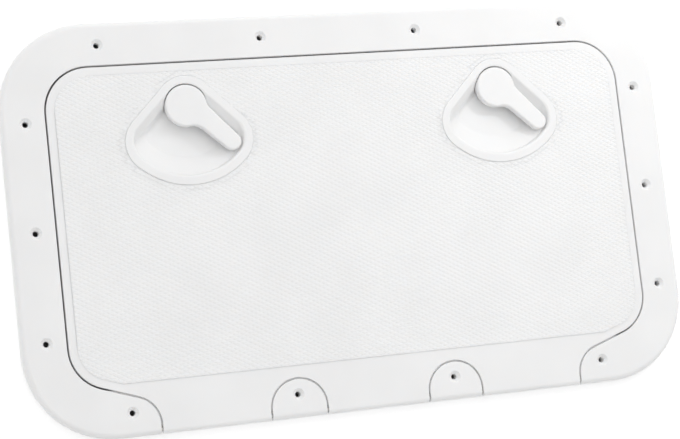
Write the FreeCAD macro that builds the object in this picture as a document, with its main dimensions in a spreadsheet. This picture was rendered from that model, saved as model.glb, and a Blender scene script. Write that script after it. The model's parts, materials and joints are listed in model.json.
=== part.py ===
import FreeCAD, Part
import math
import os
import re
import Sketcher

# Inspection hatch for a boat deck: a moulded frame that drops into a cut-out, a hinged lid
# with two quarter-turn latches in finger recesses, a seal and four stainless hinge pins.
# Frame of reference: origin at the middle of the hatch on the deck plane, X along the long
# side, Y from the hinge towards the latches, Z up out of the deck. Lengths in millimetres.

driving_sizes = {
    # outline seen from above
    "hatch_length": 606.0,
    "hatch_width": 353.0,
    "outer_corner_radius": 76.5,
    "flange_width": 37.5,
    "lower_corner_radius": 37.0,
    "lower_corner_rise": 77.5,
    "lid_gap": 1.5,
    # flange, gutter and skirt of the frame
    "flange_height": 9.0,
    "flange_skin": 3.0,
    "flange_lip": 2.5,
    "flange_edge_round": 5.0,
    "small_edge_round": 0.6,
    "hollow_lower_radius": 62.0,
    "skirt_wall": 2.6,
    "skirt_depth": 30.0,
    "gutter_depth": 10.0,
    "gutter_floor": 2.6,
    "gutter_width": 8.0,
    "upstand_wall": 2.5,
    "upstand_height": 1.5,
    "frame_rib_wall": 2.0,
    "frame_rib_foot": 1.0,
    # screw holes of the frame
    "screw_pitch": 144.0,
    "screw_row_inset": 20.1,
    "side_screw_pitch": 92.2,
    "side_screw_inset": 21.0,
    "screw_hole": 5.0,
    "countersink_width": 10.5,
    "countersink_angle": 90.0,
    "screw_boss": 14.0,
    # hinge: tabs and ears of the frame, knuckles of the lid, pins
    "tab_radius": 24.25,
    "tab_centre_inset": 9.0,
    "ear_x": 217.5,
    "ledge_gap": 0.5,
    "ledge_skin": 2.9,
    "nose_radius": 4.2,
    "nose_gap": 0.6,
    "hinge_lip": 2.5,
    "pin_diameter": 4.0,
    "pin_clearance": 0.05,
    "pin_reach": 9.0,
    "pin_root": 22.0,
    "snap_slot": 3.4,
    # lid
    "lid_skin": 3.0,
    "lid_skirt_wall": 2.5,
    "lid_skirt_gap": 3.0,
    "field_inset": 7.0,
    "field_foot_inset": 45.0,
    "field_foot_half": 221.5,
    "field_height": 0.3,
    "lid_rib_wall": 2.0,
    "lid_rib_depth": 10.0,
    "lid_rib_pitch": 72.0,
    "seal_width": 5.0,
    "seal_squeeze_gap": 0.3,
    "seal_rib_wall": 1.5,
    "seal_rib_depth": 2.5,
    "seal_side_gap": 0.2,
    "seal_round": 1.6,
    # latch recess in the lid
    "latch_x": 144.0,
    "latch_y": 100.0,
    "recess_head": 19.5,
    "recess_corner": 20.0,
    "recess_reach": 60.5,
    "recess_half_angle": 45.0,
    "recess_depth": 12.0,
    "recess_step": 5.6,
    "arm_clearance": 1.0,
    "tip_clearance": 1.5,
    "arm_way_corner": 11.0,
    "scoop_half": 10.0,
    "scoop_corner": 8.0,
    "scoop_reach": 43.0,
    "bowl_mouth": 19.2,
    "bowl_floor": 18.5,
    "floor_round": 3.0,
    "bowl_wall": 2.6,
    "ring_head": 26.0,
    "ring_corner": 27.0,
    "ring_reach": 69.0,
    "ring_height": 1.2,
    "ring_round": 0.8,
    "ring_inner_round": 2.4,
    # latch lever
    "lever_swing": 94.0,
    "lever_head_radius": 18.2,
    "lever_rise": 1.2,
    "lever_thickness": 6.2,
    "lever_arm_root": 9.5,
    "lever_root_offset": 10.0,
    "lever_root_shift": 3.0,
    "lever_tip_radius": 7.6,
    "lever_tip_shift": 1.1,
    "lever_reach": 50.4,
    "lever_edge_round": 1.8,
    "lever_neck_round": 12.0,
    "lever_hub_radius": 10.5,
    "lever_wall": 2.0,
    # latch spindle, bush, nut, ring, cam and fasteners
    "spindle_diameter": 10.0,
    "spindle_clearance": 0.05,
    "spindle_in_lever": 6.5,
    "square_side": 7.0,
    "seat_gap": 0.3,
    "bush_wall": 2.0,
    "bush_flange": 19.0,
    "bush_flange_height": 1.2,
    "boss_radius": 12.0,
    "boss_depth": 6.0,
    "nut_width": 20.0,
    "nut_height": 3.0,
    "ring_section": 1.2,
    "ring_gap": 0.3,
    "ring_drop": 3.4,
    "cam_gap": 0.5,
    "cam_thickness": 4.0,
    "cam_hub_radius": 9.0,
    "cam_reach": 27.0,
    "cam_tip_radius": 6.5,
    "cam_edge_round": 1.0,
    "washer_diameter": 14.0,
    "washer_height": 1.0,
    "screw_diameter": 5.0,
    "screw_length": 10.0,
    "screw_head_diameter": 9.5,
    "screw_head_height": 3.2,
    "screw_slot_width": 1.2,
}

# Lengths nearer than this are taken as equal when edges are looked for
TOUCH = 1e-3

doc = FreeCAD.newDocument("InspectionHatch")
sizes = doc.addObject("Spreadsheet::Sheet", "Sizes")
for row, (name, number) in enumerate(driving_sizes.items(), start=1):
    sizes.set("A%d" % row, name.replace("_", " "))
    sizes.set("B%d" % row, str(number))
    sizes.setAlias("B%d" % row, name)
doc.recompute()

# Heights and places that follow from the driving sizes, as formulas of them
LID_TOP = "flange_height"
LID_UNDER = "flange_height - lid_skin"
LEDGE_TOP = "flange_height - lid_skin - ledge_gap"
GUTTER_TOP = "-gutter_depth"
GUTTER_UNDER = "-(gutter_depth + gutter_floor)"
HINGE_Y = "-(hatch_width / 2 - nose_radius)"
HINGE_Z = "flange_height - nose_radius"
HINGE_LIP_Y = "-(hatch_width / 2 - 2 * nose_radius - nose_gap)"
TAB_Y = "-(hatch_width / 2 - tab_centre_inset)"
TAB_X = "screw_pitch / 2"
CORNER_X = "(hatch_length / 2 - outer_corner_radius)"
CORNER_Y = "(hatch_width / 2 - outer_corner_radius)"
LOWER_X = "(hatch_length / 2 - flange_width - lower_corner_radius)"
LOWER_Y = "(hatch_width / 2 - lower_corner_rise)"
BAY_RADIUS = "(outer_corner_radius - flange_width)"
RECESS_FLOOR = "flange_height - recess_depth"
LEVER_TOP = "flange_height + lever_rise"
PIN_BORE_RADIUS = "pin_diameter / 2 + pin_clearance"
BUSH_RADIUS = "(spindle_diameter / 2 + spindle_clearance + bush_wall)"
RING_RADIUS = "(spindle_diameter / 2 + spindle_clearance - ring_gap - ring_section / 2)"
CAM_TOP = "-(gutter_depth + gutter_floor + cam_gap)"
CAM_UNDER = "-(gutter_depth + gutter_floor + cam_gap + cam_thickness)"


def formula(text):
    """The text with every named size pointed at its cell of the sheet."""
    return re.sub(r"[a-z][a-z_]*",
                  lambda word: "Sizes." + word.group() if word.group() in driving_sizes else word.group(),
                  text)


def worth(text):
    """The number that a formula of the named sizes gives now."""
    result = sizes.evalExpression(formula(text))
    return float(getattr(result, "Value", result))


def bind(thing, prop, text):
    thing.setExpression(prop, formula(text))


def new_body(label):
    body = doc.addObject("PartDesign::Body", label)
    body.Label = label
    return body


def new_sketch(body, name, height="0", plane="XY_Plane"):
    """A sketch on one of the body's own origin planes, raised by a formula."""
    sketch = body.newObject("Sketcher::SketchObject", body.Label + "_" + name)
    origin_plane = [item for item in body.Origin.OriginFeatures if item.Role == plane][0]
    sketch.AttachmentSupport = [(origin_plane, "")]
    sketch.MapMode = "FlatFace"
    bind(sketch, "AttachmentOffset.Base.z", height)
    return sketch


def dimension(sketch, kind, where, text, unit=""):
    """A constraint whose value is bound to a formula; angles are given in degrees."""
    number = worth(text)
    if unit:
        number = math.radians(number)
    index = sketch.addConstraint(Sketcher.Constraint(kind, *where, number))
    bind(sketch, "Constraints[%d]" % index, "(" + text + ")" + unit)


def pin_point(sketch, geometry, point, x, y):
    """Holds a point at formulas x and y from the sketch origin."""
    if x == "0":
        sketch.addConstraint(Sketcher.Constraint("PointOnObject", geometry, point, -2))
    else:
        dimension(sketch, "DistanceX", (-1, 1, geometry, point), x)
    if y == "0":
        sketch.addConstraint(Sketcher.Constraint("PointOnObject", geometry, point, -1))
    else:
        dimension(sketch, "DistanceY", (-1, 1, geometry, point), y)


def circle(sketch, x, y, radius):
    centre = FreeCAD.Vector(worth(x), worth(y), 0)
    round_line = Part.Circle(centre, FreeCAD.Vector(0, 0, 1), worth(radius))
    index = sketch.addGeometry(round_line, False)
    dimension(sketch, "Radius", (index,), radius)
    pin_point(sketch, index, 3, x, y)


def polygon(sketch, corners):
    """A closed outline of straight lines through corners given as formulas."""
    points = [FreeCAD.Vector(worth(x), worth(y), 0) for x, y in corners]
    count = len(points)
    lines = [sketch.addGeometry(Part.LineSegment(points[i], points[(i + 1) % count]), False)
             for i in range(count)]
    for i in range(count):
        sketch.addConstraint(Sketcher.Constraint("Coincident", lines[i - 1], 2, lines[i], 1))
        pin_point(sketch, lines[i], 1, *corners[i])


def rectangle(sketch, x_low, x_high, y_low, y_high):
    polygon(sketch, [(x_low, y_low), (x_high, y_low), (x_high, y_high), (x_low, y_high)])


def belt(sketch, stops):
    """A closed outline of arcs and the straight lines that touch them, run anticlockwise.
    A stop is (x, y, radius, turn): turn 1 curves left, -1 curves right, 0 is a sharp corner."""
    centres = [FreeCAD.Vector(worth(x), worth(y), 0) for x, y, radius, turn in stops]
    radii = [worth(radius) for x, y, radius, turn in stops]
    turns = [turn for x, y, radius, turn in stops]
    count = len(stops)
    leaving = [None] * count
    entering = [None] * count
    for i in range(count):
        j = (i + 1) % count
        reach = centres[j] - centres[i]
        spread = turns[j] * radii[j] - turns[i] * radii[i]
        angle = math.atan2(reach.y, reach.x) + math.acos(spread / reach.Length)
        normal = FreeCAD.Vector(math.cos(angle), math.sin(angle), 0)
        leaving[i] = centres[i] - normal * (turns[i] * radii[i])
        entering[j] = centres[j] - normal * (turns[j] * radii[j])
    lines = [sketch.addGeometry(Part.LineSegment(leaving[i], entering[(i + 1) % count]), False)
             for i in range(count)]
    for i in range(count):
        x, y, radius, turn = stops[i]
        if turn == 0:
            sketch.addConstraint(Sketcher.Constraint("Coincident", lines[i - 1], 2, lines[i], 1))
            pin_point(sketch, lines[i], 1, x, y)
            continue
        first, last = (entering[i], leaving[i]) if turn > 0 else (leaving[i], entering[i])
        start = math.atan2(first.y - centres[i].y, first.x - centres[i].x)
        end = math.atan2(last.y - centres[i].y, last.x - centres[i].x)
        if end < start:
            end += 2 * math.pi
        rim = Part.Circle(centres[i], FreeCAD.Vector(0, 0, 1), radii[i])
        arc = sketch.addGeometry(Part.ArcOfCircle(rim, start, end), False)
        enter_point, leave_point = (1, 2) if turn > 0 else (2, 1)
        sketch.addConstraint(Sketcher.Constraint("Tangent", lines[i - 1], 2, arc, enter_point))
        sketch.addConstraint(Sketcher.Constraint("Tangent", arc, leave_point, lines[i], 1))
        dimension(sketch, "Radius", (arc,), radius)
        pin_point(sketch, arc, 3, x, y)


def fan(sketch, x, y, head, corner, reach):
    """The outline swept by a round-ended lever that swings both ways from the -Y direction:
    a head arc, two straight sides, two corner arcs and an arc about the same centre."""
    half = math.radians(worth("recess_half_angle"))
    centre = FreeCAD.Vector(worth(x), worth(y), 0)
    head_r, corner_r, reach_r = worth(head), worth(corner), worth(reach)
    run = math.sqrt((reach_r - corner_r) ** 2 - (head_r - corner_r) ** 2)
    axis = FreeCAD.Vector(0, 0, 1)

    def place(side, outward, along):
        """A point given by its distance square to one side of the fan and along it."""
        across = FreeCAD.Vector(side * math.cos(half), math.sin(half), 0)
        down = FreeCAD.Vector(side * math.sin(half), -math.cos(half), 0)
        return centre + across * outward + down * along

    def bearing(point, about):
        return math.atan2(point.y - about.y, point.x - about.x) % (2 * math.pi)

    middles = {side: place(side, head_r - corner_r, run) for side in (1, -1)}
    foots = {}
    for side in (1, -1):
        away = middles[side] - centre
        foots[side] = centre + away * (reach_r / away.Length)
    head_arc = sketch.addGeometry(Part.ArcOfCircle(
        Part.Circle(centre, axis, head_r), half, math.pi - half), False)
    left_line = sketch.addGeometry(Part.LineSegment(place(-1, head_r, 0), place(-1, head_r, run)), False)
    left_arc = sketch.addGeometry(Part.ArcOfCircle(
        Part.Circle(middles[-1], axis, corner_r),
        bearing(place(-1, head_r, run), middles[-1]), bearing(foots[-1], middles[-1])), False)
    foot_arc = sketch.addGeometry(Part.ArcOfCircle(
        Part.Circle(centre, axis, reach_r), bearing(foots[-1], centre), bearing(foots[1], centre)), False)
    right_arc = sketch.addGeometry(Part.ArcOfCircle(
        Part.Circle(middles[1], axis, corner_r),
        bearing(foots[1], middles[1]), bearing(place(1, head_r, run), middles[1]) + 2 * math.pi), False)
    right_line = sketch.addGeometry(Part.LineSegment(place(1, head_r, run), place(1, head_r, 0)), False)
    loop = [head_arc, left_line, left_arc, foot_arc, right_arc, right_line]
    for i in range(len(loop)):
        sketch.addConstraint(Sketcher.Constraint("Tangent", loop[i - 1], 2, loop[i], 1))
    pin_point(sketch, head_arc, 3, x, y)
    sketch.addConstraint(Sketcher.Constraint("Coincident", foot_arc, 3, head_arc, 3))
    dimension(sketch, "Radius", (head_arc,), head)
    dimension(sketch, "Radius", (foot_arc,), reach)
    dimension(sketch, "Radius", (left_arc,), corner)
    dimension(sketch, "Radius", (right_arc,), corner)
    dimension(sketch, "Angle", (right_line,), "90 + recess_half_angle", " * 1 deg")
    dimension(sketch, "Angle", (left_line,), "-90 - recess_half_angle", " * 1 deg")


def outer_loop(sketch, inset):
    """The outline of the flange, drawn in by a formula."""
    radius = "outer_corner_radius - (" + inset + ")"
    belt(sketch, [
        (CORNER_X, CORNER_Y, radius, 1),
        ("-" + CORNER_X, CORNER_Y, radius, 1),
        ("-" + CORNER_X, "-" + CORNER_Y, radius, 1),
        (CORNER_X, "-" + CORNER_Y, radius, 1),
    ])


def bay_loop(sketch, inset):
    """The outline of the bay that the lid drops into, drawn in by a formula."""
    upper = BAY_RADIUS + " - (" + inset + ")"
    lower = "lower_corner_radius - (" + inset + ")"
    belt(sketch, [
        (CORNER_X, CORNER_Y, upper, 1),
        ("-" + CORNER_X, CORNER_Y, upper, 1),
        ("-" + LOWER_X, "-" + LOWER_Y, lower, 1),
        (LOWER_X, "-" + LOWER_Y, lower, 1),
    ])


def band_loop(sketch, inset, foot, with_tabs=True):
    """The outline where lid and flange meet on top: the bay, and the hinge band that runs
    out between the ears of the frame and round its two tabs, as far as the line y = foot."""
    upper = BAY_RADIUS + " - (" + inset + ")"
    lower = "lower_corner_radius - (" + inset + ")"
    tab = "tab_radius + (" + inset + ")"
    stops = [
        (CORNER_X, CORNER_Y, upper, 1),
        ("-" + CORNER_X, CORNER_Y, upper, 1),
        ("-" + LOWER_X, "-" + LOWER_Y, lower, 1),
        ("-ear_x", TAB_Y, tab, -1),
        ("-(ear_x - (" + tab + "))", foot, "0", 0),
    ]
    if with_tabs:
        for side in ("-", ""):
            middle = side + TAB_X
            stops.append((middle + " - (" + tab + ")", foot, "0", 0))
            stops.append((middle, TAB_Y, tab, -1))
            stops.append((middle + " + (" + tab + ")", foot, "0", 0))
    stops.append(("ear_x - (" + tab + ")", foot, "0", 0))
    stops.append(("ear_x", TAB_Y, tab, -1))
    stops.append((LOWER_X, "-" + LOWER_Y, lower, 1))
    belt(sketch, stops)


def pad(body, sketch, length, midplane=False, reversed_way=False):
    feature = body.newObject("PartDesign::Pad", sketch.Name + "_pad")
    feature.Profile = sketch
    feature.Midplane = midplane
    feature.Reversed = reversed_way
    bind(feature, "Length", length)
    doc.recompute()
    return feature


def pocket(body, sketch, depth, upward=False):
    """Cuts a sketch into the body, downward unless asked, and makes sure that it bites."""
    before = body.Shape.Volume
    feature = body.newObject("PartDesign::Pocket", sketch.Name + "_pocket")
    feature.Profile = sketch
    feature.Reversed = upward
    bind(feature, "Length", depth)
    doc.recompute()
    if not body.Shape.Volume < before:
        raise RuntimeError(feature.Name + " cuts nothing")
    return feature


def edges_where(shape, wanted):
    """The names of the edges whose box of coordinates passes a test."""
    return ["Edge%d" % (i + 1) for i, edge in enumerate(shape.Edges) if wanted(edge.BoundBox, edge)]


def level(height):
    """A test for edges that lie flat at a height given by a formula."""
    z = worth(height)
    return lambda box, edge: abs(box.ZMin - z) < TOUCH and abs(box.ZMax - z) < TOUCH


def round_edges(body, name, radius, names):
    base = body.Tip
    feature = body.newObject("PartDesign::Fillet", body.Label + "_" + name)
    feature.Base = (base, names)
    bind(feature, "Radius", radius)
    doc.recompute()
    if "Invalid" in feature.State:
        raise RuntimeError(feature.Name + " can't be rounded")
    return feature


def screw_places():
    """The middles of the fourteen screw holes, as formulas."""
    row_y = "(hatch_width / 2 - screw_row_inset)"
    side_x = "(hatch_length / 2 - side_screw_inset)"
    places = []
    for sign_y in ("", "-"):
        for step in ("-3", "-1", "1", "3"):
            places.append((step + " * screw_pitch / 2", sign_y + row_y))
    for sign_x in ("", "-"):
        for y in ("-side_screw_pitch", "0", "side_screw_pitch"):
            places.append((sign_x + side_x, y))
    return places


def make_frame():
    """The moulded frame: a ribbed flange on the deck, a gutter round the opening with an
    upstand for the seal, a skirt that lines the cut-out, and the tabs and ears of the hinge."""
    body = new_body("frame")

    sketch = new_sketch(body, "flange_outline")
    outer_loop(sketch, "0")
    pad(body, sketch, LID_TOP)
    round_edges(body, "flange_round", "flange_edge_round", edges_where(body.Shape, level(LID_TOP)))

    # the hollow under the flange, then the thin ledge that passes below the hinge band
    sketch = new_sketch(body, "hollow")
    hollow_x = "(hatch_length / 2 - flange_lip - hollow_lower_radius)"
    hollow_y = "-(hatch_width / 2 - 2 * nose_radius - nose_gap - hinge_lip - hollow_lower_radius)"
    upper = "outer_corner_radius - flange_lip"
    belt(sketch, [
        (CORNER_X, CORNER_Y, upper, 1),
        ("-" + CORNER_X, CORNER_Y, upper, 1),
        ("-" + hollow_x, hollow_y, "hollow_lower_radius", 1),
        (hollow_x, hollow_y, "hollow_lower_radius", 1),
    ])
    bay_loop(sketch, "-skirt_wall")
    pocket(body, sketch, LID_TOP + " - flange_skin", upward=True)
    ledge_under = LEDGE_TOP + " - ledge_skin"
    sketch = new_sketch(body, "ledge", ledge_under)
    band_loop(sketch, "-flange_lip", HINGE_LIP_Y + " - hinge_lip", with_tabs=False)
    pad(body, sketch, LID_TOP + " - (" + ledge_under + ") - flange_skin / 2")

    # bosses under the screw holes
    sketch = new_sketch(body, "bosses")
    for x, y in screw_places():
        circle(sketch, x, y, "screw_boss / 2")
    pad(body, sketch, LID_TOP + " - flange_skin / 2")

    # the skirt as a full block, then the bay, the space under the gutter and the opening
    sketch = new_sketch(body, "skirt", "-skirt_depth")
    bay_loop(sketch, "-skirt_wall")
    pad(body, sketch, "skirt_depth + flange_height / 2")
    sketch = new_sketch(body, "hinge_band", LID_TOP)
    band_loop(sketch, "0", "-(hatch_width / 2 + flange_width)")
    pocket(body, sketch, "lid_skin + ledge_gap")
    sketch = new_sketch(body, "knuckle_bays", LEDGE_TOP)
    inner = TAB_X + " - tab_radius"
    outer = TAB_X + " + tab_radius"
    ear = "ear_x - tab_radius"
    beyond = "-(hatch_width / 2 + flange_width)"
    rectangle(sketch, "-(" + inner + ")", inner, beyond, HINGE_LIP_Y)
    rectangle(sketch, outer, ear, beyond, HINGE_LIP_Y)
    rectangle(sketch, "-(" + ear + ")", "-(" + outer + ")", beyond, HINGE_LIP_Y)
    pocket(body, sketch, "flange_height * 2")
    sketch = new_sketch(body, "bay", LID_TOP)
    bay_loop(sketch, "0")
    pocket(body, sketch, "flange_height + gutter_depth")
    sketch = new_sketch(body, "below_gutter", "-skirt_depth")
    bay_loop(sketch, "0")
    pocket(body, sketch, "skirt_depth - gutter_depth - gutter_floor", upward=True)
    sketch = new_sketch(body, "opening", GUTTER_TOP)
    bay_loop(sketch, "gutter_width + upstand_wall")
    pocket(body, sketch, "gutter_floor * 2")
    sketch = new_sketch(body, "upstand", GUTTER_UNDER)
    bay_loop(sketch, "gutter_width")
    bay_loop(sketch, "gutter_width + upstand_wall")
    pad(body, sketch, "gutter_depth + gutter_floor + upstand_height")

    # small rounding of the moulded edges round the bay, as far as the straight top edges go
    top_edges = edges_where(body.Shape, level(LID_TOP))
    round_edges(body, "bay_round", "small_edge_round", top_edges)

    # countersunk screw holes
    sketch = new_sketch(body, "screw_holes", LID_TOP)
    for x, y in screw_places():
        circle(sketch, x, y, "screw_hole / 2")
    hole = body.newObject("PartDesign::Hole", "frame_screw_hole")
    hole.Profile = sketch
    hole.DepthType = "ThroughAll"
    hole.DrillPoint = "Flat"
    bind(hole, "Diameter", "screw_hole")
    hole.HoleCutType = "Countersink"
    hole.HoleCutCustomValues = True
    bind(hole, "HoleCutDiameter", "countersink_width")
    bind(hole, "HoleCutCountersinkAngle", "countersink_angle * 1 deg")
    doc.recompute()

    # stiffening ribs across the hollow
    rib_height = LID_TOP + " - flange_skin / 2 - frame_rib_foot"
    across = "(hatch_width / 2 - flange_width)"
    sketch = new_sketch(body, "long_side_ribs", "frame_rib_foot")
    for step in range(-11, 12, 2):
        middle = "%d * screw_pitch / 8" % step
        rectangle(sketch, middle + " - frame_rib_wall / 2", middle + " + frame_rib_wall / 2",
                  across + " + skirt_wall / 2", "hatch_width / 2 - flange_lip / 2")
    pad(body, sketch, rib_height)
    sketch = new_sketch(body, "short_side_ribs", "frame_rib_foot")
    for side in (-1, 1):
        near = "(%d) * (hatch_length / 2 - flange_width + skirt_wall / 2)" % side
        far = "(%d) * (hatch_length / 2 - flange_lip / 2)" % side
        low, high = (near, far) if side > 0 else (far, near)
        for step in range(-5, 6, 2):
            middle = "%d * side_screw_pitch / 6" % step
            rectangle(sketch, low, high, middle + " - frame_rib_wall / 2", middle + " + frame_rib_wall / 2")
    pad(body, sketch, rib_height)

    # the bores that hold the hinge pins: through the tabs, blind in the ears
    sketch = new_sketch(body, "pin_bore", "-(ear_x - tab_radius + pin_root)", "YZ_Plane")
    circle(sketch, HINGE_Y, HINGE_Z, "pin_diameter / 2")
    pocket(body, sketch, "2 * (ear_x - tab_radius + pin_root)", upward=True)
    return body


SIDES = {-1: "left", 1: "right"}


def latch_middle(side):
    """The axis of the left (-1) or right (1) latch, as formulas."""
    return ("-latch_x" if side < 0 else "latch_x"), "latch_y"


def make_lid():
    """The moulded lid: a plate with a raised non-slip field, a skirt that drops into the
    gutter, channel ribs for the seal, finger recesses for the latches and hinge knuckles."""
    body = new_body("lid")

    # the plate, its moulded top edge rounded except along the foot where the knuckles begin
    sketch = new_sketch(body, "plate", LID_UNDER)
    band_loop(sketch, "lid_gap", HINGE_Y)
    pad(body, sketch, "lid_skin")
    foot = worth(HINGE_Y)
    round_edges(body, "edge_round", "small_edge_round", edges_where(
        body.Shape, lambda box, edge: level(LID_TOP)(box, edge)
        and not (box.YLength < TOUCH and abs(box.YMin - foot) < TOUCH)))

    # hinge knuckles: full-round noses between the ears and tabs, with the same small rounding
    near_tab = "(" + TAB_X + " - tab_radius - lid_gap)"
    far_tab = "(" + TAB_X + " + tab_radius + lid_gap)"
    ear = "(ear_x - tab_radius - lid_gap)"
    runs = [("middle", "-" + near_tab, near_tab), ("right", far_tab, ear), ("left", "-" + ear, "-" + far_tab)]
    for name, start, end in runs:
        sketch = new_sketch(body, "knuckle_" + name, HINGE_Z)
        bind(sketch, "AttachmentOffset.Base.y", HINGE_Y)
        belt(sketch, [
            (start, "0", "0", 0),
            (end, "0", "0", 0),
            (end + " - small_edge_round", "nose_radius - small_edge_round", "small_edge_round", 1),
            (start + " + small_edge_round", "nose_radius - small_edge_round", "small_edge_round", 1),
        ])
        knuckle = body.newObject("PartDesign::Revolution", sketch.Name + "_turned")
        knuckle.Profile = sketch
        knuckle.ReferenceAxis = (sketch, ["H_Axis"])
        knuckle.Angle = 360
        doc.recompute()

    # the skirt inside the gutter and the two ribs that hold the seal
    sketch = new_sketch(body, "skirt", LID_UNDER)
    bay_loop(sketch, "lid_gap")
    bay_loop(sketch, "lid_gap + lid_skirt_wall")
    pad(body, sketch, LID_UNDER + " + gutter_depth - lid_skirt_gap", reversed_way=True)
    seal_outer = "(gutter_width + upstand_wall / 2 - seal_width / 2 - seal_side_gap)"
    seal_inner = "(gutter_width + upstand_wall / 2 + seal_width / 2 + seal_side_gap)"
    sketch = new_sketch(body, "seal_ribs", LID_UNDER)
    bay_loop(sketch, seal_outer + " - seal_rib_wall")
    bay_loop(sketch, seal_outer)
    bay_loop(sketch, seal_inner)
    bay_loop(sketch, seal_inner + " + seal_rib_wall")
    pad(body, sketch, "seal_rib_depth", reversed_way=True)

    # stiffening ribs under the plate, from one side of the seal channel to the other
    edge_x = "(hatch_length / 2 - flange_width - " + seal_inner + " - seal_rib_wall / 2)"
    top_y = "(hatch_width / 2 - flange_width - " + seal_inner + " - seal_rib_wall / 2)"
    foot_y = "-(" + LOWER_Y + " + lower_corner_radius - " + seal_inner + " - seal_rib_wall / 2)"
    sketch = new_sketch(body, "cross_ribs", LID_UNDER)
    for step in range(-3, 4):
        middle = "%d * lid_rib_pitch" % step
        rectangle(sketch, middle + " - lid_rib_wall / 2", middle + " + lid_rib_wall / 2", foot_y, top_y)
    pad(body, sketch, "lid_rib_depth", reversed_way=True)
    sketch = new_sketch(body, "long_ribs", LID_UNDER)
    for step in range(-1, 2):
        middle = "%d * lid_rib_pitch" % step
        rectangle(sketch, "-" + edge_x, edge_x, middle + " - lid_rib_wall / 2", middle + " + lid_rib_wall / 2")
    pad(body, sketch, "lid_rib_depth", reversed_way=True)

    # the raised non-slip field
    sketch = new_sketch(body, "field", LID_TOP + " - lid_skin / 2")
    field_loop(sketch, "0")
    pad(body, sketch, "lid_skin / 2 + field_height")

    # the raised rings round the recesses
    ring_z = LID_TOP + " + ring_height"
    sketch = new_sketch(body, "rings", LID_TOP)
    for side in SIDES:
        fan(sketch, *latch_middle(side), "ring_head", "ring_corner", "ring_reach")
    pad(body, sketch, "ring_height")
    round_edges(body, "ring_round", "ring_round", edges_where(body.Shape, level(ring_z)))

    # Each recess is three hollows in one: a slope from the ring down to the sides of the lever's
    # arm, a scoop for the fingers below it, and a round bowl for the lever's head. First come
    # their shells below the plate, then the hollows, each shell a wall's thickness outside.
    step_z = LID_TOP + " - recess_step"
    mouth = ("recess_head", "recess_corner", "recess_reach")
    arm_way = ("lever_root_shift + lever_arm_root + arm_clearance", "arm_way_corner",
               "lever_reach + lever_tip_radius + tip_clearance")
    scoop = ("scoop_half", "scoop_corner", "scoop_reach")
    shells = [
        ("slope_shell", LID_TOP + " - lid_skin / 2", mouth, step_z + " - bowl_wall / 2", arm_way),
        ("scoop_shell", step_z + " - bowl_wall / 2", arm_way, RECESS_FLOOR + " - bowl_wall", scoop),
        ("bowl_shell", LID_TOP + " - lid_skin / 2", ("bowl_mouth",),
         RECESS_FLOOR + " - bowl_wall", ("bowl_floor",)),
    ]
    hollows = [
        ("slope", ring_z, mouth, step_z, arm_way),
        ("scoop", step_z, arm_way, RECESS_FLOOR, scoop),
        ("bowl", ring_z, ("bowl_mouth",), RECESS_FLOOR, ("bowl_floor",)),
    ]
    for side in SIDES:
        for name, top, upper, bottom, lower in shells:
            outer = [[size + " + bowl_wall" for size in outline] for outline in (upper, lower)]
            fan_loft(body, "AdditiveLoft", name, side, [(top, outer[0]), (bottom, outer[1])])
    sketch = new_sketch(body, "bosses", RECESS_FLOOR + " - boss_depth")
    for side in SIDES:
        circle(sketch, *latch_middle(side), "boss_radius")
    pad(body, sketch, "boss_depth - bowl_wall / 2")
    rims = [edge.CenterOfMass for edge in body.Shape.Edges if level(ring_z)(edge.BoundBox, edge)]
    for side in SIDES:
        for name, top, upper, bottom, lower in hollows:
            fan_loft(body, "SubtractiveLoft", name, side, [(top, upper), (bottom, lower)])
    round_edges(body, "floor_round", "floor_round", edges_where(body.Shape, level(RECESS_FLOOR)))
    round_edges(body, "mouth_round", "ring_inner_round", edges_where(
        body.Shape, lambda box, edge: level(ring_z)(box, edge)
        and all(edge.CenterOfMass.distanceToPoint(rim) > TOUCH for rim in rims)))
    sketch = new_sketch(body, "bush_seats", RECESS_FLOOR)
    for side in SIDES:
        circle(sketch, *latch_middle(side), "bush_flange / 2")
    pocket(body, sketch, "bush_flange_height")
    sketch = new_sketch(body, "bush_bores", RECESS_FLOOR)
    for side in SIDES:
        circle(sketch, *latch_middle(side), BUSH_RADIUS)
    pocket(body, sketch, "boss_depth * 2")

    # the pins' bore through the knuckles, and the slots below it that snap over the pins
    sketch = new_sketch(body, "pin_bore", "-hatch_length / 2", "YZ_Plane")
    circle(sketch, HINGE_Y, HINGE_Z, PIN_BORE_RADIUS)
    pocket(body, sketch, "hatch_length", upward=True)
    sketch = new_sketch(body, "snap_slots", HINGE_Z)
    low = HINGE_Y + " - snap_slot / 2"
    high = HINGE_Y + " + snap_slot / 2"
    slot = "(pin_reach + lid_gap)"
    for inner, outer in ((near_tab + " - " + slot, near_tab), (far_tab, far_tab + " + " + slot),
                         (ear + " - " + slot, ear)):
        rectangle(sketch, inner, outer, low, high)
        rectangle(sketch, "-(" + outer + ")", "-(" + inner + ")", low, high)
    pocket(body, sketch, "nose_radius * 2")
    return body


def fan_loft(body, kind, name, side, levels):
    """A tapered solid or hollow between the outlines at two heights; an outline of one size is
    a circle, one of three a fan."""
    sections = []
    for number, (height, outline) in enumerate(levels):
        sketch = new_sketch(body, "%s_%s_%d" % (SIDES[side], name, number), height)
        draw = circle if len(outline) == 1 else fan
        draw(sketch, *latch_middle(side), *outline)
        sections.append(sketch)
    feature = body.newObject("PartDesign::" + kind, "%s_%s_%s" % (body.Label, SIDES[side], name))
    feature.Profile = sections[0]
    feature.Sections = sections[1:]
    feature.Ruled = True
    doc.recompute()
    return feature


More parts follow.
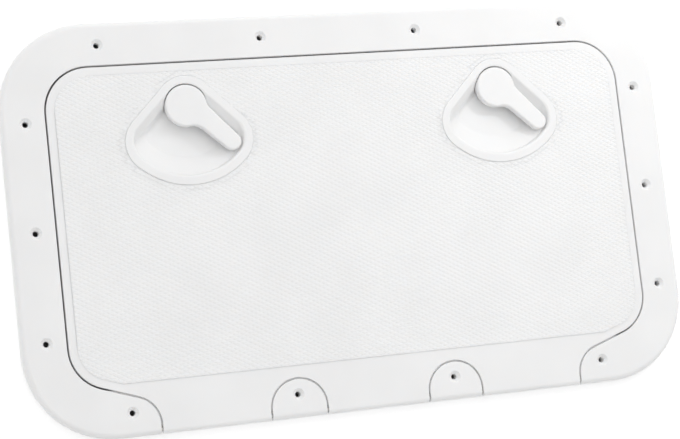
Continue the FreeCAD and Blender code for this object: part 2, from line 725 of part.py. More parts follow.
def field_loop(sketch, inset):
    """The edge of the non-slip field: parallel to the lid's edge, straight above the hinge."""
    upper = BAY_RADIUS + " - lid_gap - field_inset - (" + inset + ")"
    lower = "lower_corner_radius - lid_gap - field_inset - (" + inset + ")"
    foot_y = "-(hatch_width / 2 - field_foot_inset) + (" + inset + ")"
    belt(sketch, [
        (CORNER_X, CORNER_Y, upper, 1),
        ("-" + CORNER_X, CORNER_Y, upper, 1),
        ("-" + LOWER_X, "-" + LOWER_Y, lower, 1),
        ("-field_foot_half", foot_y, "0", 0),
        ("field_foot_half", foot_y, "0", 0),
        (LOWER_X, "-" + LOWER_Y, lower, 1),
    ])


def make_lid_seal():
    """The rubber seal in the lid's channel, its lower corners rounded to meet the upstand."""
    body = new_body("lid_seal")
    seal_outer = "gutter_width + upstand_wall / 2 - seal_width / 2"
    height = LID_UNDER + " - upstand_height - seal_squeeze_gap"
    sketch = new_sketch(body, "section", "upstand_height + seal_squeeze_gap")
    bay_loop(sketch, seal_outer)
    bay_loop(sketch, seal_outer + " + seal_width")
    pad(body, sketch, height)
    round_edges(body, "lip_round", "seal_round",
                edges_where(body.Shape, level("upstand_height + seal_squeeze_gap")))
    return body


def make_hinge_pin(side, place):
    """A stainless pin pressed in a tab or an ear, its ends free in the lid's knuckles."""
    name = "hinge_pin_%s_%s" % (SIDES[side], place)
    if place == "tab":
        inner = TAB_X + " - tab_radius - lid_gap - pin_reach"
        outer = TAB_X + " + tab_radius + lid_gap + pin_reach"
    else:
        inner = "ear_x - tab_radius - lid_gap - pin_reach"
        outer = "ear_x - tab_radius + pin_root"
    bar = doc.addObject("Part::Cylinder", name + "_bar")
    bind(bar, "Radius", "pin_diameter / 2")
    bind(bar, "Height", outer + " - (" + inner + ")")
    start = inner if side > 0 else "-(" + outer + ")"
    bar.Placement = FreeCAD.Placement(
        FreeCAD.Vector(0, 0, 0), FreeCAD.Rotation(FreeCAD.Vector(0, 1, 0), 90))
    bind(bar, "Placement.Base.x", start)
    bind(bar, "Placement.Base.y", HINGE_Y)
    bind(bar, "Placement.Base.z", HINGE_Z)
    doc.recompute()
    pin = doc.addObject("Part::Chamfer", name)
    pin.Base = bar
    chamfer = worth("pin_diameter / 10")
    pin.Edges = [(i + 1, chamfer, chamfer) for i, edge in enumerate(bar.Shape.Edges)
                 if isinstance(edge.Curve, Part.Circle)]
    pin.Label = name
    doc.recompute()
    return pin


def place_at_latch(body, side, angle="0"):
    """Stands a body on the axis of one latch, turned about it by a formula in degrees."""
    x, y = latch_middle(side)
    body.Placement = FreeCAD.Placement(
        FreeCAD.Vector(worth(x), worth(y), 0), FreeCAD.Rotation(FreeCAD.Vector(0, 0, 1), worth(angle)))
    bind(body, "Placement.Base.x", x)
    bind(body, "Placement.Base.y", y)
    if angle != "0":
        bind(body, "Placement.Rotation.Angle", "(" + angle + ") * 1 deg")
    doc.recompute()


def make_lever(side):
    """The moulded lever: a round head, a tapered arm with a round end that is set a little to
    one side of the head, and a hub below."""
    name = SIDES[side]
    body = new_body("latch_lever_" + name)
    under = LEVER_TOP + " - lever_thickness"
    sketch = new_sketch(body, "head", under)
    circle(sketch, "0", "0", "lever_head_radius")
    pad(body, sketch, "lever_thickness")
    sketch = new_sketch(body, "arm", under)
    belt(sketch, [("lever_root_offset", "lever_root_shift", "lever_arm_root", 1),
                  ("lever_reach", "lever_tip_shift", "lever_tip_radius", 1)])
    pad(body, sketch, "lever_thickness")
    upright = worth("lever_thickness")
    head = worth("lever_head_radius")
    round_edges(body, "neck_round", "lever_neck_round", edges_where(
        body.Shape, lambda box, edge: abs(box.ZLength - upright) < TOUCH
        and box.XLength < TOUCH and box.YLength < TOUCH
        and abs(math.hypot(box.Center.x, box.Center.y) - head) < TOUCH))
    round_edges(body, "top_round", "lever_edge_round", edges_where(body.Shape, level(LEVER_TOP)))
    # the hollow under the arm, then the hub and its bore
    sketch = new_sketch(body, "arm_hollow", under)
    belt(sketch, [("lever_head_radius + lever_wall", "lever_root_shift",
                   "lever_arm_root - 2 * lever_wall", 1),
                  ("lever_reach", "lever_tip_shift", "lever_tip_radius - lever_wall", 1)])
    pocket(body, sketch, "lever_thickness - lever_wall", upward=True)
    sketch = new_sketch(body, "hub", RECESS_FLOOR + " + seat_gap")
    circle(sketch, "0", "0", "lever_hub_radius")
    pad(body, sketch, LEVER_TOP + " - lever_thickness / 2 - (" + RECESS_FLOOR + " + seat_gap)")
    sketch = new_sketch(body, "spindle_bore", RECESS_FLOOR + " + seat_gap")
    circle(sketch, "0", "0", "spindle_diameter / 2")
    pocket(body, sketch, "spindle_in_lever", upward=True)
    place_at_latch(body, side, "lever_swing / 2 - 90")
    return body


def make_spindle(side):
    """The stainless spindle: round through the bush, square for the cam, drilled for a screw
    and turned down for the rubber ring."""
    name = SIDES[side]
    body = new_body("latch_spindle_" + name)
    top = "(" + RECESS_FLOOR + " + seat_gap + spindle_in_lever)"
    sketch = new_sketch(body, "shaft", CAM_TOP)
    circle(sketch, "0", "0", "spindle_diameter / 2")
    pad(body, sketch, top + " - (" + CAM_TOP + ")")
    sketch = new_sketch(body, "square", CAM_TOP)
    rectangle(sketch, "-square_side / 2", "square_side / 2", "-square_side / 2", "square_side / 2")
    pad(body, sketch, "cam_thickness - seat_gap", reversed_way=True)
    sketch = new_sketch(body, "ring_groove", "0", "XZ_Plane")
    middle = RECESS_FLOOR + " - ring_drop"
    half = "(ring_section / 2 + ring_gap / 3)"
    rectangle(sketch, RING_RADIUS + " - ring_section / 2", "spindle_diameter",
              middle + " - " + half, middle + " + " + half)
    groove = body.newObject("PartDesign::Groove", body.Label + "_ring_seat")
    groove.Profile = sketch
    groove.ReferenceAxis = (sketch, ["V_Axis"])
    groove.Angle = 360
    before = body.Shape.Volume
    doc.recompute()
    if not body.Shape.Volume < before:
        raise RuntimeError(groove.Name + " cuts nothing")
    sketch = new_sketch(body, "screw_bore", CAM_UNDER)
    circle(sketch, "0", "0", "screw_diameter / 2")
    pocket(body, sketch, "screw_length - washer_height", upward=True)
    place_at_latch(body, side, "90 + lever_swing")
    return body


def make_bush(side):
    """The flanged acetal bush that carries the spindle through the floor of the recess."""
    name = SIDES[side]
    body = new_body("latch_bush_" + name)
    foot = "(" + CAM_TOP + " + seat_gap)"
    sketch = new_sketch(body, "sleeve", foot)
    circle(sketch, "0", "0", BUSH_RADIUS)
    pad(body, sketch, RECESS_FLOOR + " - " + foot)
    sketch = new_sketch(body, "flange", RECESS_FLOOR)
    circle(sketch, "0", "0", "bush_flange / 2")
    pad(body, sketch, "bush_flange_height", reversed_way=True)
    sketch = new_sketch(body, "bore", foot)
    circle(sketch, "0", "0", "spindle_diameter / 2 + spindle_clearance")
    pocket(body, sketch, RECESS_FLOOR + " - " + foot + " + bush_wall", upward=True)
    place_at_latch(body, side)
    return body


def make_nut(side):
    """The hexagon nut that draws the bush down on the boss of the lid."""
    name = SIDES[side]
    body = new_body("latch_nut_" + name)
    sketch = new_sketch(body, "hexagon", RECESS_FLOOR + " - boss_depth")
    corners = [("nut_width / sqrt(3) * cos(%d * 1 deg)" % angle,
                "nut_width / sqrt(3) * sin(%d * 1 deg)" % angle) for angle in range(0, 360, 60)]
    polygon(sketch, [(x, "0" if y.count("sin(0 ") or y.count("sin(180 ") else y) for x, y in corners])
    circle(sketch, "0", "0", BUSH_RADIUS)
    pad(body, sketch, "nut_height", reversed_way=True)
    place_at_latch(body, side)
    return body


def make_ring(side):
    """The rubber ring that seals the spindle in its bush."""
    name = SIDES[side]
    ring = doc.addObject("Part::Torus", "latch_o_ring_" + name)
    ring.Label = "latch_o_ring_" + name
    bind(ring, "Radius1", RING_RADIUS)
    bind(ring, "Radius2", "ring_section / 2")
    x, y = latch_middle(side)
    bind(ring, "Placement.Base.x", x)
    bind(ring, "Placement.Base.y", y)
    bind(ring, "Placement.Base.z", RECESS_FLOOR + " - ring_drop")
    doc.recompute()
    return ring


def make_cam(side):
    """The cam arm that turns under the gutter of the frame and pulls the lid down."""
    name = SIDES[side]
    body = new_body("latch_cam_" + name)
    sketch = new_sketch(body, "arm", CAM_UNDER)
    belt(sketch, [("0", "0", "cam_hub_radius", 1), ("cam_reach", "0", "cam_tip_radius", 1)])
    pad(body, sketch, "cam_thickness")
    round_edges(body, "edge_round", "cam_edge_round", edges_where(body.Shape, level(CAM_TOP)))
    sketch = new_sketch(body, "square_hole", CAM_TOP)
    rectangle(sketch, "-square_side / 2", "square_side / 2", "-square_side / 2", "square_side / 2")
    pocket(body, sketch, "cam_thickness * 2")
    place_at_latch(body, side, "90 + lever_swing")
    return body


def make_washer(side):
    """The washer between the cam and its screw."""
    name = SIDES[side]
    body = new_body("latch_washer_" + name)
    sketch = new_sketch(body, "disc", CAM_UNDER)
    circle(sketch, "0", "0", "washer_diameter / 2")
    circle(sketch, "0", "0", "screw_diameter / 2")
    pad(body, sketch, "washer_height", reversed_way=True)
    place_at_latch(body, side)
    return body


def make_screw(side):
    """The pan-head screw that holds the cam on the spindle."""
    name = SIDES[side]
    body = new_body("latch_screw_" + name)
    seat = CAM_UNDER + " - washer_height"
    sketch = new_sketch(body, "head", seat)
    circle(sketch, "0", "0", "screw_head_diameter / 2")
    pad(body, sketch, "screw_head_height", reversed_way=True)
    round_edges(body, "head_round", "screw_head_height / 2",
                edges_where(body.Shape, level(seat + " - screw_head_height")))
    sketch = new_sketch(body, "shank", seat)
    circle(sketch, "0", "0", "screw_diameter / 2")
    pad(body, sketch, "screw_length")
    sketch = new_sketch(body, "slot", seat + " - screw_head_height")
    rectangle(sketch, "-screw_head_diameter", "screw_head_diameter",
              "-screw_slot_width / 2", "screw_slot_width / 2")
    pocket(body, sketch, "screw_head_height / 2", upward=True)
    place_at_latch(body, side)
    return body


pieces = [make_frame(), make_lid(), make_lid_seal()]
for side in SIDES:
    for place in ("ear", "tab"):
        pieces.append(make_hinge_pin(side, place))
    for maker in (make_lever, make_spindle, make_bush, make_nut, make_ring, make_cam,
                  make_washer, make_screw):
        pieces.append(maker(side))
doc.recompute()

faulty = [item.Name for item in doc.Objects
          if "Invalid" in item.State or "Error" in item.State]
faulty += [piece.Label for piece in pieces
           if piece.Shape.isNull() or not piece.Shape.isValid() or len(piece.Shape.Solids) != 1]
if faulty:
    raise RuntimeError("these did not build: " + ", ".join(faulty))

os.makedirs("parts", exist_ok=True)
for piece in pieces:
    piece.Shape.exportStep("parts/%s.step" % piece.Label)
    box = piece.Shape.optimalBoundingBox(True, False)
    print("%-22s x %7.1f %7.1f  y %7.1f %7.1f  z %6.2f %6.2f  volume %.0f" % (
        piece.Label, box.XMin, box.XMax, box.YMin, box.YMax, box.ZMin, box.ZMax, piece.Shape.Volume))
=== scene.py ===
import json
import math
import bmesh
import bpy
from mathutils import Matrix, Vector

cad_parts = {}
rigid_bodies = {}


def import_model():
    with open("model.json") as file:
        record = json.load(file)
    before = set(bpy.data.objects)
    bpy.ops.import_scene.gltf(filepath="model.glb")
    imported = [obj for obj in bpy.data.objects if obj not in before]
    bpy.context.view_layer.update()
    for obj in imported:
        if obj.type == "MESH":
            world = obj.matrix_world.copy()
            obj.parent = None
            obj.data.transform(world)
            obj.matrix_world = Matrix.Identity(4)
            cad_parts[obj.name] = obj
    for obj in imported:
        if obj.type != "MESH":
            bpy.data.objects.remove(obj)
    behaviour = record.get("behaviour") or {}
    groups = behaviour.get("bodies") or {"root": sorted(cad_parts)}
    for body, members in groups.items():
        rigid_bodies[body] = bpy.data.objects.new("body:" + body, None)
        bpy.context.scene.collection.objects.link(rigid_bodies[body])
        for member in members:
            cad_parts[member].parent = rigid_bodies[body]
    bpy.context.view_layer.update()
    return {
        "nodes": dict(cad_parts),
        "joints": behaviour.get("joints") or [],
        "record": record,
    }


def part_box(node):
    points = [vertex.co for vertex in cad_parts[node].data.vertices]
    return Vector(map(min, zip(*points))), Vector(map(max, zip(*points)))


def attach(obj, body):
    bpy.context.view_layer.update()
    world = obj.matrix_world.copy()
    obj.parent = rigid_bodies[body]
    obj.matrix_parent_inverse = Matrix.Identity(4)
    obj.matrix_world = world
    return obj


# Inspection hatch for a boat deck, in metres: X along the long side, Y from the hinge towards the
# latches, Z up out of the deck, with the deck plane at zero.
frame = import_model()
nodes = frame["nodes"]
MM = 0.001

# Frame: one moulding with a flange that lies on the deck, fourteen countersunk holes, a gutter and
# a skirt that lines the cut-out. It is white ASA, injection moulded in a tool with a fine satin
# texture, and is bedded on sealant and screwed down.


def linear(hex_colour):
    """The linear colour of an sRGB hex value, with full alpha."""
    channels = [int(hex_colour[place:place + 2], 16) / 255 for place in (1, 3, 5)]
    return [c / 12.92 if c <= 0.04045 else ((c + 0.055) / 1.055) ** 2.4 for c in channels] + [1.0]


def add_node(material, kind, settings=None, links=None):
    """Adds a node. Settings are its properties or the values of its sockets, links its sources."""
    node = material.node_tree.nodes.new("ShaderNode" + kind)
    for name, value in (settings or {}).items():
        if name in node.inputs:
            node.inputs[name].default_value = value
        else:
            setattr(node, name, value)
    for name, source in (links or {}).items():
        material.node_tree.links.new(source, node.inputs[name])
    return node


def new_material(name):
    """An empty material of nodes; its output is linked once its surface is made."""
    material = bpy.data.materials.new(name)
    material.use_nodes = True
    material.node_tree.nodes.clear()
    return material


def dress(name, material):
    """Gives a piece of the frame its finish."""
    nodes[name].data.materials.clear()
    nodes[name].data.materials.append(material)


# Satin moulded ASA: a milky white with hardly any tint. A spark-eroded tool leaves a fine matt
# grain, so it shines softly and evenly, and thick places sink by some hundredths of a millimetre,
# which bends the light a little every few centimetres. Light goes into it by a millimetre or two
# and comes out again, so edges and narrow gaps look soft and never quite dark.
asa_grain = 0.9 * MM  # the real grain is near 0.15 mm, drawn coarser so that it shows
asa_sink_width = 55 * MM
asa_body = {"IOR": 1.52, "Subsurface Weight": 0.6, "Subsurface Radius": (1.0, 0.95, 0.9),
            "Subsurface Scale": 1.5 * MM}
satin_asa = new_material("satin_moulded_asa")
where = add_node(satin_asa, "TexCoord").outputs["Object"]
sink = add_node(satin_asa, "TexNoise", {"Scale": 1 / asa_sink_width, "Detail": 1.0}, {"Vector": where})
grain = add_node(satin_asa, "TexNoise", {"Scale": 1 / asa_grain, "Detail": 2.0}, {"Vector": where})
tone = add_node(satin_asa, "ValToRGB", {}, {"Fac": sink.outputs["Fac"]})
tone.color_ramp.elements[0].color = linear("#F2F2F2")
tone.color_ramp.elements[1].color = linear("#F5F5F5")
tone.color_ramp.elements[0].position = 0.35
tone.color_ramp.elements[1].position = 0.65
sheen = add_node(satin_asa, "MapRange", {"To Min": 0.38, "To Max": 0.52},
                 {"Value": grain.outputs["Fac"]})
sunk = add_node(satin_asa, "Bump", {"Strength": 1.0, "Distance": 0.12 * MM},
                {"Height": sink.outputs["Fac"]})
grained = add_node(satin_asa, "Bump", {"Strength": 0.35, "Distance": 0.02 * MM},
                   {"Height": grain.outputs["Fac"], "Normal": sunk.outputs["Normal"]})
surface = add_node(satin_asa, "BsdfPrincipled", asa_body,
                   {"Base Color": tone.outputs["Color"], "Roughness": sheen.outputs["Result"],
                    "Normal": grained.outputs["Normal"]})
add_node(satin_asa, "OutputMaterial", {}, {"Surface": surface.outputs["BSDF"]})
dress("frame", satin_asa)

# Lid: one moulding of the same ASA, with a skirt that drops into the gutter and knuckles that clip
# over the hinge pins. Its top is a raised non-slip field of small diamonds, cut into the tool with
# crossed grooves, which runs up to a plain border and to the rings round the two recesses.
dress("lid", satin_asa)

groove_spacing = 3.5 * MM
groove_slope = math.radians(30)
diamond_height = 0.21 * MM
diamond_flat = 0.35  # length of a diamond's flat top over that of its foot
diamond_half_x = groove_spacing / (2 * math.sin(groove_slope))
diamond_half_y = groove_spacing / (2 * math.cos(groove_slope))
frame_low, frame_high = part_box("frame")
lid_edge_x, lid_edge_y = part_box("lid")[1].xy
field_rise = 0.31 * MM  # a hair above the plain raised face that the solid has
field_base = frame_high.z + field_rise
field_inset = 7 * MM
upper_corner_radius = 37.5 * MM
lower_corner_radius = 35.5 * MM
lower_corner_y = -99 * MM
field_foot_y = -131.5 * MM
field_foot_half = 221.5 * MM
arc_step = math.radians(3)


def arc(x, y, radius, start, end):
    """Points on an arc from one angle to a larger one."""
    count = max(1, math.ceil((end - start) / arc_step))
    angles = [start + (end - start) * step / count for step in range(count + 1)]
    return [Vector((x + radius * math.cos(a), y + radius * math.sin(a))) for a in angles]


def band(circles):
    """The outline drawn tight round circles (x, y, radius) that are given anticlockwise."""
    leaving = []
    for (x, y, radius), (next_x, next_y, next_radius) in zip(circles, circles[1:] + circles[:1]):
        away = math.atan2(next_y - y, next_x - x)
        leaving.append(away - math.acos((radius - next_radius) / math.hypot(next_x - x, next_y - y)))
    outline = []
    for number, (x, y, radius) in enumerate(circles):
        start, end = leaving[number - 1], leaving[number]
        while end < start:
            end += 2 * math.pi
        outline += arc(x, y, radius, start, end) if radius else [Vector((x, y))]
    return outline


def fan(x, y, head, corner, reach, half_angle=math.radians(45)):
    """The outline of a recess: a head arc, two straight sides and a wide foot with round corners."""
    run = math.sqrt((reach - corner) ** 2 - (head - corner) ** 2)
    corner_x = (head - corner) * math.cos(half_angle) + run * math.sin(half_angle)
    corner_y = (head - corner) * math.sin(half_angle) - run * math.cos(half_angle)
    right = math.atan2(corner_y, corner_x)
    left = -math.pi - right
    outline = arc(x, y, head, half_angle, math.pi - half_angle)
    outline += arc(x - corner_x, y + corner_y, corner, math.pi - half_angle, left + 2 * math.pi)[:-1]
    outline += arc(x, y, reach, left, right)[:-1]
    outline += arc(x + corner_x, y + corner_y, corner, right, half_angle)
    return outline


def split(polygon, start, end):
    """Parts a convex polygon along the line through two points: (what lies left, what lies right)."""
    along = end - start
    sides = [along.cross(corner.xy - start) for corner in polygon]
    left, right = [], []
    for number, corner in enumerate(polygon):
        before, side = sides[number - 1], sides[number]
        if before * side < 0:
            meeting = polygon[number - 1].lerp(corner, before / (before - side))
            left.append(meeting)
            right.append(meeting)
        if side >= 0:
            left.append(corner)
        if side <= 0:
            right.append(corner)
    return left, right


def lies_in(outline, point):
    """How far a point lies inside a convex outline, in metres; negative if it lies outside."""
    return min((end - start).cross(point - start) / (end - start).length
               for start, end in zip(outline, outline[1:] + outline[:1]) if (end - start).length > 0)


def keep_inside(polygons, outline):
    """What is left of the polygons within a convex outline."""
    for start, end in zip(outline, outline[1:] + outline[:1]):
        polygons = [split(polygon, start, end)[0] for polygon in polygons]
        polygons = [polygon for polygon in polygons if len(polygon) > 2]
    return polygons


def keep_outside(polygons, outline):
    """What is left of the polygons beyond a convex outline."""
    kept = []
    for start, end in zip(outline, outline[1:] + outline[:1]):
        parts = [split(polygon, start, end) for polygon in polygons]
        kept += [right for left, right in parts if len(right) > 2]
        polygons = [left for left, right in parts if len(left) > 2]
    return kept


upper_x, upper_y = lid_edge_x - upper_corner_radius, lid_edge_y - upper_corner_radius
lower_x = lid_edge_x - lower_corner_radius
field_outline = band([
    (upper_x, upper_y, upper_corner_radius - field_inset),
    (-upper_x, upper_y, upper_corner_radius - field_inset),
    (-lower_x, lower_corner_y, lower_corner_radius - field_inset),
    (-field_foot_half, field_foot_y, 0),
    (field_foot_half, field_foot_y, 0),
    (lower_x, lower_corner_y, lower_corner_radius - field_inset),
])
ring_head, ring_corner, ring_reach = 26.2 * MM, 27.2 * MM, 69.2 * MM
latches = [joint["pos_m"][:2] for joint in frame["joints"] if joint["parent"] == "lid"]
rings = [fan(x, y, ring_head, ring_corner, ring_reach) for x, y in latches]

# The diamonds stand in staggered rows, and those that cross an edge of the field are cut along it.
columns = math.ceil(lid_edge_x / diamond_half_x)
rows = math.ceil(lid_edge_y / diamond_half_y)
diamonds = []
for column in range(-columns, columns + 1):
    for row in range(-rows, rows + 1):
        if (column + row) % 2:
            continue
        middle = Vector((column * diamond_half_x, row * diamond_half_y))
        inside = lies_in(field_outline, middle)
        beyond = [-lies_in(ring, middle) for ring in rings]
        if inside < -diamond_half_x or min(beyond) < -diamond_half_x:
            continue
        tips = [(diamond_half_x, 0), (0, diamond_half_y), (-diamond_half_x, 0), (0, -diamond_half_y)]
        foot = [Vector((middle.x + x, middle.y + y, field_base)) for x, y in tips]
        top = [Vector((middle.x + x * diamond_flat, middle.y + y * diamond_flat,
                       field_base + diamond_height)) for x, y in tips]
        faces = [top] + [[foot[i - 1], foot[i], top[i], top[i - 1]] for i in range(4)]
        if inside < diamond_half_x:
            faces = keep_inside(faces, field_outline)
        for ring, gap in zip(rings, beyond):
            if gap < diamond_half_x:
                faces = keep_outside(faces, ring)
        diamonds += faces

# They are joined to one skin, with a low wall round it that goes down into the lid.
field_weld = 0.01 * MM
field_wall = 0.3 * MM
field = bmesh.new()
for polygon in diamonds:
    field.faces.new([field.verts.new(corner) for corner in polygon])
bmesh.ops.remove_doubles(field, verts=field.verts, dist=field_weld)
bmesh.ops.dissolve_degenerate(field, dist=field_weld, edges=field.edges)
rims = [edge for edge in field.edges if len(edge.link_faces) == 1]
walls = bmesh.ops.extrude_edge_only(field, edges=rims)["geom"]
for part in walls:
    if isinstance(part, bmesh.types.BMVert):
        part.co.z = field_base - field_wall
bmesh.ops.recalc_face_normals(field, faces=field.faces)
mesh = bpy.data.meshes.new("non_slip_field")
field.to_mesh(mesh)
field.free()
mesh.materials.append(satin_asa)
non_slip_field = bpy.data.objects.new("non_slip_field", mesh)
bpy.context.scene.collection.objects.link(non_slip_field)
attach(non_slip_field, "lid")

# Seal: a rubber ring pressed into the channel under the lid, which meets the upstand of the gutter.
# It is extruded EPDM, black and dull, with a faint bloom on the surface.
epdm_bloom = 6 * MM
epdm = new_material("extruded_epdm")
where = add_node(epdm, "TexCoord").outputs["Object"]
bloom = add_node(epdm, "TexNoise", {"Scale": 1 / epdm_bloom, "Detail": 3.0}, {"Vector": where})
tone = add_node(epdm, "ValToRGB", {}, {"Fac": bloom.outputs["Fac"]})
tone.color_ramp.elements[0].color = linear("#1B1B1C")
tone.color_ramp.elements[1].color = linear("#2A2A2B")
relief = add_node(epdm, "Bump", {"Strength": 0.4, "Distance": 0.05 * MM},
                  {"Height": bloom.outputs["Fac"]})
surface = add_node(epdm, "BsdfPrincipled", {"IOR": 1.5, "Roughness": 0.75},
                   {"Base Color": tone.outputs["Color"], "Normal": relief.outputs["Normal"]})
add_node(epdm, "OutputMaterial", {}, {"Surface": surface.outputs["BSDF"]})
dress("lid_seal", epdm)

# Hinge pins: four short pins of drawn 316 stainless, pressed into the tabs and ears of the frame.
# Drawing leaves fine lines along the pin, so it glints in streaks from end to end.
streak_length, streak_width = 10.4 * MM, 0.33 * MM
drawn_steel = new_material("drawn_316_stainless")
where = add_node(drawn_steel, "TexCoord").outputs["Object"]
lines = add_node(drawn_steel, "Mapping",
                 {"Scale": (1 / streak_length, 1 / streak_width, 1 / streak_width)}, {"Vector": where})
drawn = add_node(drawn_steel, "TexNoise", {"Scale": 1.0, "Detail": 3.0},
                 {"Vector": lines.outputs["Vector"]})
gloss = add_node(drawn_steel, "MapRange", {"To Min": 0.22, "To Max": 0.4},
                 {"Value": drawn.outputs["Fac"]})
relief = add_node(drawn_steel, "Bump", {"Strength": 0.2, "Distance": 0.01 * MM},
                  {"Height": drawn.outputs["Fac"]})
surface = add_node(drawn_steel, "BsdfPrincipled", {"Base Color": linear("#C4C3C0"), "Metallic": 1.0},
                   {"Roughness": gloss.outputs["Result"], "Normal": relief.outputs["Normal"]})
add_node(drawn_steel, "OutputMaterial", {}, {"Surface": surface.outputs["BSDF"]})
for side in ("left", "right"):
    for place in ("ear", "tab"):
        dress("hinge_pin_%s_%s" % (side, place), drawn_steel)

# Latch levers: one for each recess, a round head over the spindle with a tapered arm to lift by.
# They are moulded of the same ASA in a smooth tool, so they are a little whiter and more even
# than the lid, with only a faint orange peel.
asa_peel_width = 9 * MM
smooth_asa = new_material("smooth_moulded_asa")
where = add_node(smooth_asa, "TexCoord").outputs["Object"]
peel = add_node(smooth_asa, "TexNoise", {"Scale": 1 / asa_peel_width, "Detail": 1.0}, {"Vector": where})
tone = add_node(smooth_asa, "ValToRGB", {}, {"Fac": peel.outputs["Fac"]})
tone.color_ramp.elements[0].color = linear("#F3F3F3")
tone.color_ramp.elements[1].color = linear("#F5F5F5")
relief = add_node(smooth_asa, "Bump", {"Strength": 0.5, "Distance": 0.03 * MM},
                  {"Height": peel.outputs["Fac"]})
surface = add_node(smooth_asa, "BsdfPrincipled", {"Roughness": 0.4, **asa_body},
                   {"Base Color": tone.outputs["Color"], "Normal": relief.outputs["Normal"]})
add_node(smooth_asa, "OutputMaterial", {}, {"Surface": surface.outputs["BSDF"]})
for side in ("left", "right"):
    dress("latch_lever_" + side, smooth_asa)

# Latch bushes and nuts: the bush carries the spindle through the floor of the recess, and the
# hexagon nut draws it down on the lid's boss. Both are black acetal, turned and milled, which
# looks waxy and a little grey.
acetal_mark_width = 0.6 * MM
acetal = new_material("machined_acetal")
where = add_node(acetal, "TexCoord").outputs["Object"]
marks = add_node(acetal, "TexNoise", {"Scale": 1 / acetal_mark_width, "Detail": 2.0}, {"Vector": where})
gloss = add_node(acetal, "MapRange", {"To Min": 0.35, "To Max": 0.5}, {"Value": marks.outputs["Fac"]})
relief = add_node(acetal, "Bump", {"Strength": 0.3, "Distance": 0.02 * MM},
                  {"Height": marks.outputs["Fac"]})
surface = add_node(acetal, "BsdfPrincipled", {"Base Color": linear("#222223"), "IOR": 1.48},
                   {"Roughness": gloss.outputs["Result"], "Normal": relief.outputs["Normal"]})
add_node(acetal, "OutputMaterial", {}, {"Surface": surface.outputs["BSDF"]})
for side in ("left", "right"):
    dress("latch_bush_" + side, acetal)
    dress("latch_nut_" + side, acetal)

# Spindle, rubber ring, cam, washer and screw of each latch: the spindle is turned from drawn bar
# with a square foot, the ring in its groove keeps water out, and the cam arm, stamped from thick
# stainless plate, is held by a pan-head screw on its washer.

# Tumbling takes the burrs off the stamped parts and leaves small soft dents, so they shine in
# blurred spots.
tumbled_mark_width = 1.2 * MM
tumbled_steel = new_material("tumbled_316_stainless")
where = add_node(tumbled_steel, "TexCoord").outputs["Object"]
tumbled = add_node(tumbled_steel, "TexNoise", {"Scale": 1 / tumbled_mark_width, "Detail": 4.0},
                   {"Vector": where})
gloss = add_node(tumbled_steel, "MapRange", {"To Min": 0.26, "To Max": 0.46},
                 {"Value": tumbled.outputs["Fac"]})
relief = add_node(tumbled_steel, "Bump", {"Strength": 0.35, "Distance": 0.02 * MM},
                  {"Height": tumbled.outputs["Fac"]})
surface = add_node(tumbled_steel, "BsdfPrincipled", {"Base Color": linear("#BDBCB9"), "Metallic": 1.0},
                   {"Roughness": gloss.outputs["Result"], "Normal": relief.outputs["Normal"]})
add_node(tumbled_steel, "OutputMaterial", {}, {"Surface": surface.outputs["BSDF"]})
for side in ("left", "right"):
    dress("latch_o_ring_" + side, epdm)
    dress("latch_spindle_" + side, drawn_steel)
    dress("latch_cam_" + side, tumbled_steel)
    dress("latch_washer_" + side, tumbled_steel)
    dress("latch_screw_" + side, tumbled_steel)

# Floor: a light board of opal acrylic that the flange lies on as it would on a deck, with the cut-out
# for the skirt and the screw holes through it. It glows a little from its top, so it is whiter than
# the hatch. A board of coated paper, dull and white, backs it, and one more lies under the skirt.
board_cloud_width = 4 * MM
board_finishes = {}
for name, roughness, glow in (("opal_acrylic", 0.6, 0.18), ("coated_paper", 0.9, 0.0)):
    finish = new_material(name)
    where = add_node(finish, "TexCoord").outputs["Object"]
    cloud = add_node(finish, "TexNoise", {"Scale": 1 / board_cloud_width, "Detail": 4.0},
                     {"Vector": where})
    tone = add_node(finish, "ValToRGB", {}, {"Fac": cloud.outputs["Fac"]})
    tone.color_ramp.elements[0].color = linear("#FBFBFB")
    tone.color_ramp.elements[1].color = linear("#FDFDFD")
    surface = add_node(finish, "BsdfPrincipled",
                       {"Roughness": roughness, "Emission Color": linear("#FFFFFF"),
                        "Emission Strength": glow}, {"Base Color": tone.outputs["Color"]})
    add_node(finish, "OutputMaterial", {}, {"Surface": surface.outputs["BSDF"]})
    board_finishes[name] = finish
board_half = 6.0  # wide enough for its edge to be out of the picture
board_gap = 0.05 * MM
cut_x, cut_y, cut_radius = 270 * MM, 144 * MM, 42 * MM
square = [(x * board_half, y * board_half) for x, y in ((-1, -1), (1, -1), (1, 1), (-1, 1))]
cut_out = band([(side_x * (cut_x - cut_radius), side_y * (cut_y - cut_radius), cut_radius)
                for side_x, side_y in ((1, 1), (-1, 1), (-1, -1), (1, -1))])
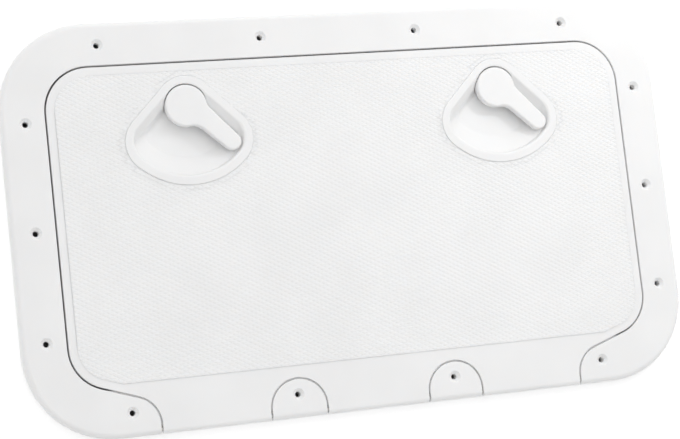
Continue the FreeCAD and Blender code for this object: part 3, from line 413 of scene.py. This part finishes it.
# The mounts in the record say where the deck screws go; the middle pair has no spacing along Y.
holes = []
for mount in frame["record"]["mounts"]:
    if mount["kind"] == "bolt_pattern":
        screws = mount["dims"]
        half_x = screws["spacing_x_mm"] * MM / 2
        half_y = screws.get("spacing_y_mm", 0) * MM / 2
        for x in (-half_x, half_x):
            for y in (-half_y, half_y) if half_y else (0,):
                holes.append(arc(x, y, screws["hole_r_mm"] * MM, 0, 2 * math.pi)[:-1])
for name, height, finish, loops in (
        ("deck_board", -board_gap, "opal_acrylic", [square, cut_out] + holes),
        ("deck_backing", -2 * board_gap, "coated_paper", [square, cut_out] + holes),
        ("lower_board", frame_low.z - board_gap, "coated_paper", [square])):
    board = bpy.data.curves.new(name, "CURVE")
    board.dimensions = "2D"
    board.fill_mode = "BOTH"
    for loop in loops:
        spline = board.splines.new("POLY")
        spline.points.add(len(loop) - 1)
        for point, (x, y) in zip(spline.points, loop):
            point.co = (x, y, 0, 1)
        spline.use_cyclic_u = True
    board.materials.append(board_finishes[finish])
    holder = bpy.data.objects.new(name, board)
    holder.location.z = height
    bpy.context.scene.collection.objects.link(holder)

# Light: a white room that is brightest overhead and a little beyond the latches, so that light
# reaches down into the recesses and the hinge edge lies in shade, one small lamp near the right,
# which draws the shadow of the right lever, and a broad weak one beyond the latches.
room_lean = math.radians(20)
side_strength, top_strength = 0.4, 1.145
room = bpy.data.worlds.new("white_room")
room.use_nodes = True
room.node_tree.nodes.clear()
way_out = add_node(room, "TexCoord").outputs["Generated"]
leaning = add_node(room, "Mapping", {"Rotation": (room_lean, 0, 0)}, {"Vector": way_out})
height = add_node(room, "SeparateXYZ", {}, {"Vector": leaning.outputs["Vector"]})
glow = add_node(room, "MapRange", {"To Min": side_strength, "To Max": top_strength},
                {"Value": height.outputs["Z"]})
light = add_node(room, "Background", {"Color": linear("#FFFFFF")}, {"Strength": glow.outputs["Result"]})
add_node(room, "OutputWorld", {}, {"Surface": light.outputs["Background"]})
bpy.context.scene.world = room
for name, direction, distance, breadth, watts in (
        ("near_lamp", (0.64, 0.43, 0.63), 0.76, 0.07, 0.66),
        ("broad_lamp", (0.10, 0.80, 0.60), 0.90, 0.70, 0.35)):
    direction = Vector(direction).normalized()
    lamp = bpy.data.lights.new(name, "AREA")
    lamp.shape = "DISK"
    lamp.size = breadth
    lamp.energy = watts
    holder = bpy.data.objects.new(name, lamp)
    holder.location = direction * distance
    holder.rotation_mode = "QUATERNION"
    holder.rotation_quaternion = direction.to_track_quat("Z", "Y")
    bpy.context.scene.collection.objects.link(holder)
bpy.context.scene.view_settings.view_transform = "Standard"

# Camera: it stands high to the left of the hatch and is turned so that the hatch lies askew, as
# in the photograph. The place and lens come from the screw holes, fitted as a pinhole view.
camera_place = Vector((-466.6, -145.3, 1434.1)) * MM
camera_target = Vector((-17.7, -9.1, 9.0)) * MM
picture_up = Vector((0.0788, 0.9897, 0.1194))
camera = bpy.data.cameras.new("camera")
camera.sensor_width = 36.0
camera.lens = 90.71
back = (camera_place - camera_target).normalized()
right = picture_up.cross(back).normalized()
axes = Matrix((right, back.cross(right), back)).transposed()
camera_holder = bpy.data.objects.new("camera", camera)
camera_holder.matrix_world = Matrix.Translation(camera_place) @ axes.to_4x4()
bpy.context.scene.collection.objects.link(camera_holder)
bpy.context.scene.camera = camera_holder
